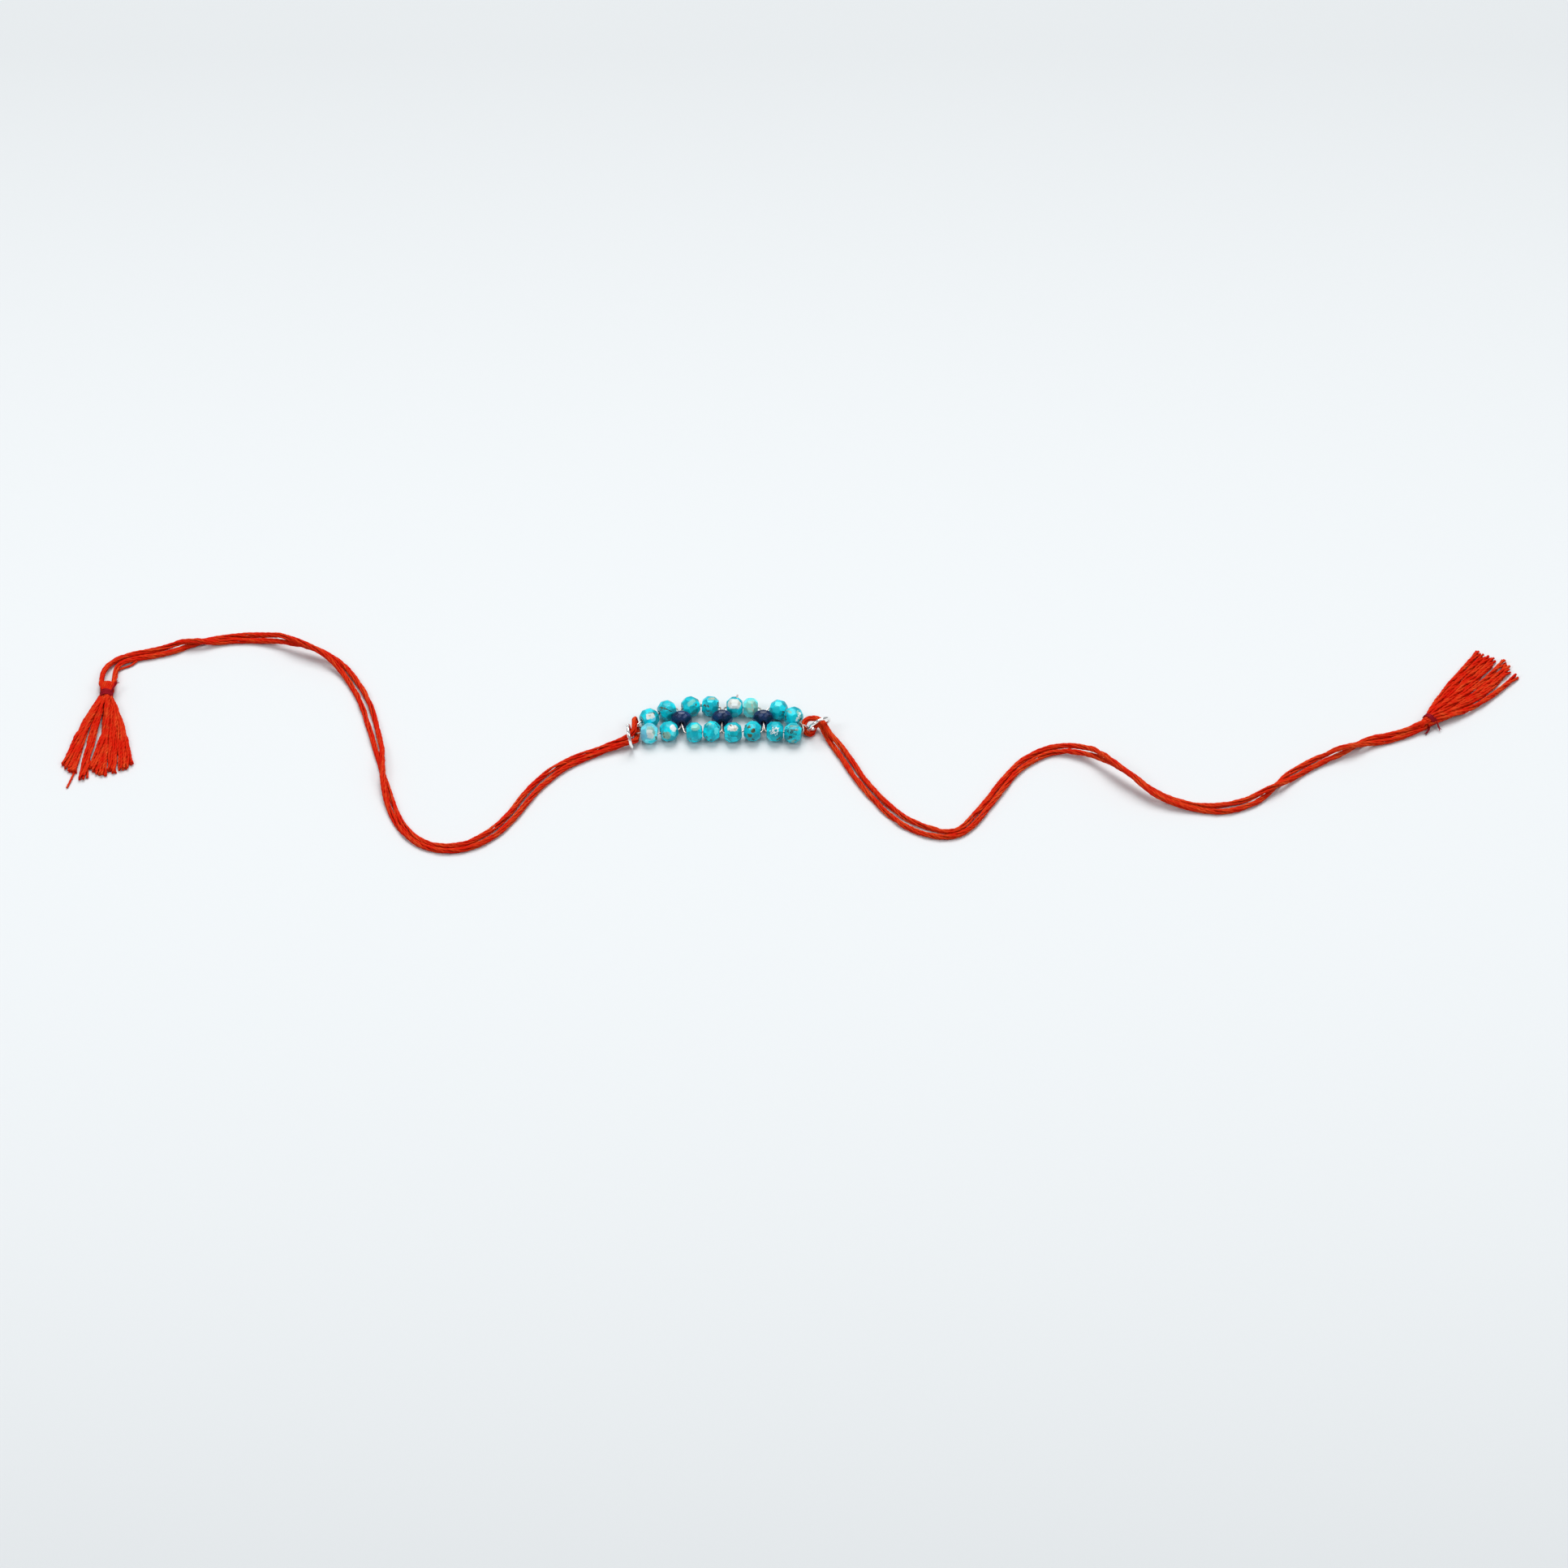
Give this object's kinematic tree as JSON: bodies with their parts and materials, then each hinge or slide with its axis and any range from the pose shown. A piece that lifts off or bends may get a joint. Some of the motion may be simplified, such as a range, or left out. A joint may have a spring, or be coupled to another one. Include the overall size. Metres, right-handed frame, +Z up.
{
  "type": "rakhi thread bracelet",
  "caption": "Rakhi bracelet of faceted turquoise and blue beads woven in two rows, tied on by doubled floss threads with a tassel at each end.",
  "frame": {"origin": "on the table under the middle blue bead, at the centre of the facet it rests on", "axes": "+X along the bead rows towards the right tie, +Y across the band away from the viewer, +Z up from the table"},
  "size_m": [0.288, 0.0614, 0.0051],
  "materials": {
    "turquoise": "polished facets with pale and brown matrix",
    "blue_stone": "glossy facets",
    "silver": "polished",
    "bead_wire": "satin beading wire",
    "floss": "twisted floss with a slight sheen",
    "crimson_thread": "wound sewing thread"
  },
  "bodies": {
    "root": {"turquoise_bead_upper_1": "turquoise", "turquoise_bead_upper_2": "turquoise", "turquoise_bead_upper_3": "turquoise", "turquoise_bead_upper_4": "turquoise", "turquoise_bead_upper_5": "turquoise", "turquoise_bead_upper_6": "turquoise", "turquoise_bead_upper_7": "turquoise", "turquoise_bead_upper_8": "turquoise", "turquoise_bead_lower_1": "turquoise", "turquoise_bead_lower_2": "turquoise", "turquoise_bead_lower_3": "turquoise", "turquoise_bead_lower_4": "turquoise", "turquoise_bead_lower_5": "turquoise", "turquoise_bead_lower_6": "turquoise", "turquoise_bead_lower_7": "turquoise", "turquoise_bead_lower_8": "turquoise", "blue_bead_1": "blue_stone", "blue_bead_2": "blue_stone", "blue_bead_3": "blue_stone", "bead_wire": "bead_wire", "left_ring": "silver", "left_thread": "floss", "left_tassel": "floss", "left_tassel_wrap": "crimson_thread", "right_ring": "silver", "right_thread": "floss", "right_tassel": "floss", "right_tassel_wrap": "crimson_thread"}
  },
  "joints": []
}
